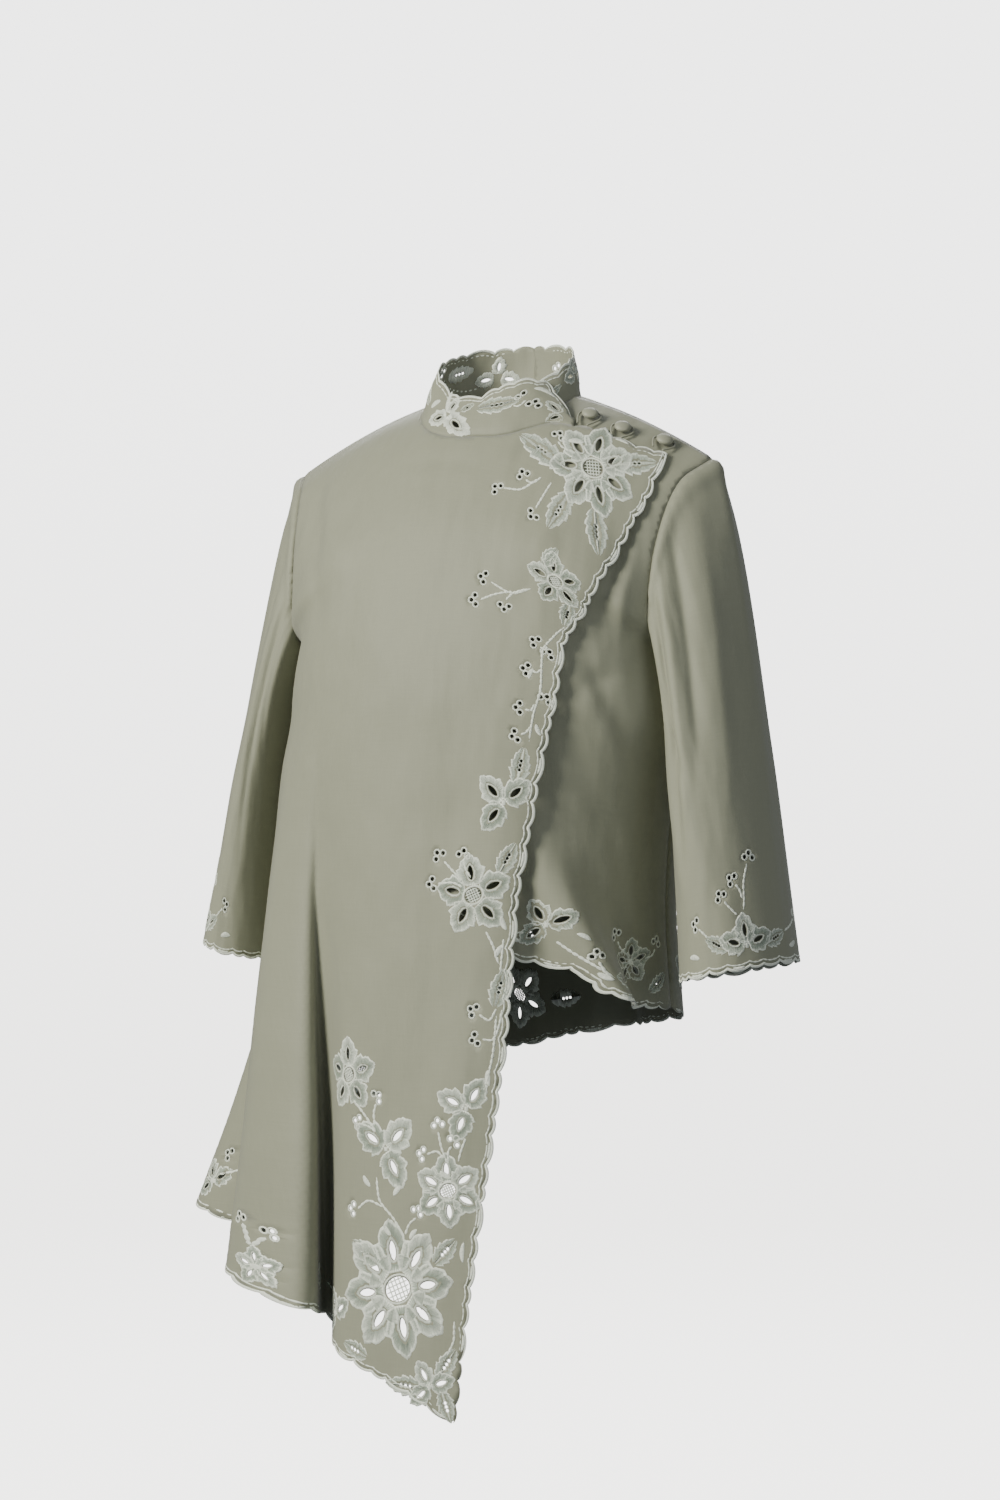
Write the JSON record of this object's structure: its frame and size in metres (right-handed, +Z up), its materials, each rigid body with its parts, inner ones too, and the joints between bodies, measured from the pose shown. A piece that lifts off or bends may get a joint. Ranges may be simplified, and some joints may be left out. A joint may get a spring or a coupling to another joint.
{
  "type": "asymmetric stand-collar jacket",
  "caption": "Worn sage green jacket whose long right front laps to the left shoulder, with a stand collar, bell sleeves, cloth buttons and a cutwork floral scalloped edge.",
  "frame": {"origin": "middle of the neck opening, level with the neck ends of the shoulder seams, where the wearer's shoulders carry the jacket", "axes": "+Z up, front of the jacket towards -Y, the wearer's left towards +X"},
  "size_m": [0.5661, 0.3003, 0.8889],
  "materials": {
    "cloth": "satin",
    "covered_button": "satin",
    "loop_cord": "satin"
  },
  "bodies": {
    "root": {"right_front": "cloth", "left_front": "cloth", "back": "cloth", "collar_right": "cloth", "collar_left": "cloth", "left_sleeve_front": "cloth", "left_sleeve_back": "cloth", "right_sleeve_front": "cloth", "right_sleeve_back": "cloth", "button_1": "covered_button", "button_2": "covered_button", "button_3": "covered_button", "loop_1": "loop_cord", "loop_2": "loop_cord", "loop_3": "loop_cord"}
  },
  "joints": []
}
